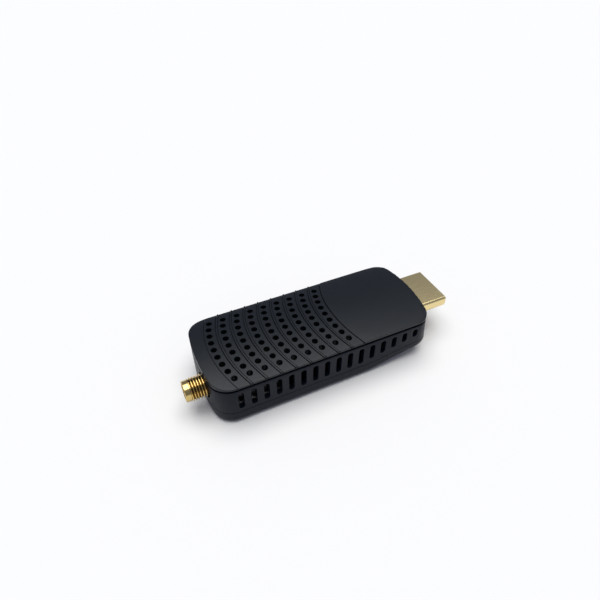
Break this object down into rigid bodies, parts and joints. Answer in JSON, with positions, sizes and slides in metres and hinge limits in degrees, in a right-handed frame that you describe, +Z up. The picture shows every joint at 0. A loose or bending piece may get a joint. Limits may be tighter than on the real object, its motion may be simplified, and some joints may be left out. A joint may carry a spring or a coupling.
{
  "type": "tv decoder dongle",
  "caption": "Stick-shaped TV receiver with a perforated crowned cover, an HDMI plug on one end and a threaded aerial socket on the other.",
  "frame": {"origin": "middle of the housing's length and width, on the flat underside that lies on the table", "axes": "+X towards the HDMI plug, +Y towards the long side with the power socket and the remote sensor jack, +Z up through the perforated cover"},
  "size_m": [0.0803, 0.0272, 0.015],
  "materials": {
    "cover_plastic": "fine moulded grain, satin black",
    "shell_plastic": "fine moulded grain, satin black",
    "board_laminate": "black solder mask",
    "plug_plating": "pale gold plated, satin",
    "socket_plating": "gold plated, turned",
    "contact_plating": "gold plated",
    "black_insulator": "moulded, matt",
    "white_insulator": "waxy white",
    "tinned_sheet": "tinned, dull",
    "chip_resin": "moulded, matt",
    "soft_pad": "soft, matt",
    "sink_metal": "extruded, plain",
    "ferrite": "pressed, matt",
    "tan_ceramic": "fired, plain",
    "yellow_resin": "moulded",
    "lamp_resin": "milky",
    "socket_steel": "nickel plated"
  },
  "bodies": {
    "root": {"top_cover": "cover_plastic", "main_shell": "shell_plastic", "bottom_cover": "shell_plastic", "circuit_board": "board_laminate", "hdmi_plug_shell": "plug_plating", "hdmi_plug_insulator": "black_insulator", "hdmi_plug_contacts": "contact_plating", "antenna_socket_body": "socket_plating", "antenna_socket_insulator": "white_insulator", "antenna_socket_contact": "contact_plating", "tuner_can_frame": "tinned_sheet", "tuner_can_lid": "tinned_sheet", "tuner_chip": "chip_resin", "decoder_chip": "chip_resin", "thermal_pad": "soft_pad", "heat_sink": "sink_metal", "memory_chip": "chip_resin", "flash_chip": "chip_resin", "crystal": "tinned_sheet", "power_inductors": "ferrite", "voltage_regulators": "chip_resin", "ceramic_capacitors": "tan_ceramic", "tantalum_capacitors": "yellow_resin", "status_led": "lamp_resin", "power_socket_shell": "socket_steel", "power_socket_tongue": "black_insulator", "power_socket_contacts": "contact_plating", "remote_sensor_jack_body": "black_insulator", "remote_sensor_jack_contacts": "tinned_sheet"}
  },
  "joints": []
}
